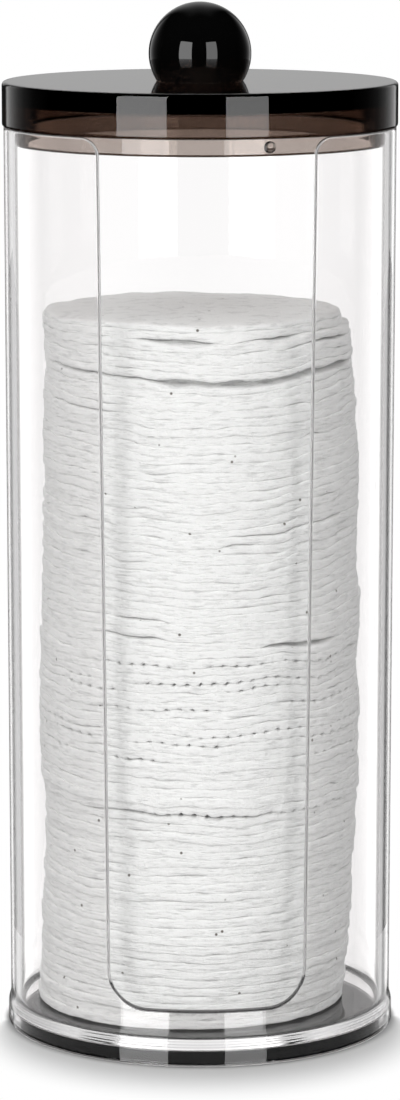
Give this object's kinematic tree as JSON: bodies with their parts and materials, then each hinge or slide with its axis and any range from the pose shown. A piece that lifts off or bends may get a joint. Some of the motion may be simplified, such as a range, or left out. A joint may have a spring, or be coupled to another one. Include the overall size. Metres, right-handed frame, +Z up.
{
  "type": "cotton pad holder",
  "caption": "Tall round cotton pad holder: clear tube with an open finger slot, smoked lift-off lid with a ball knob, and a stack of pads inside.",
  "frame": {"origin": "centre of the foot ring, on the surface that the holder stands on", "axes": "+Z up along the tube's axis towards the knob, -Y towards the finger slot, +X to the right of someone facing the slot"},
  "size_m": [0.0726, 0.0726, 0.1908],
  "materials": {
    "clear_plastic": "clear moulded polystyrene, polished",
    "smoked_plastic": "smoke-tinted clear moulded polystyrene, polished",
    "black_plastic": "polished, smoke-tinted so deep that it reads black",
    "cotton": "soft unwoven cotton, matt"
  },
  "bodies": {
    "tube": {"tube": "clear_plastic"},
    "lid": {"lid": "smoked_plastic", "knob": "black_plastic"},
    "pads": {"cotton_pads": "cotton"}
  },
  "joints": [
    {"name": "lid_lift", "type": "slide", "parent": "tube", "child": "lid", "axis": [0, 0, 1], "range_m": [0, 0.06]},
    {"name": "pads_lift", "type": "slide", "parent": "tube", "child": "pads", "axis": [0, 0, 1], "range_m": [0, 0.036]}
  ]
}
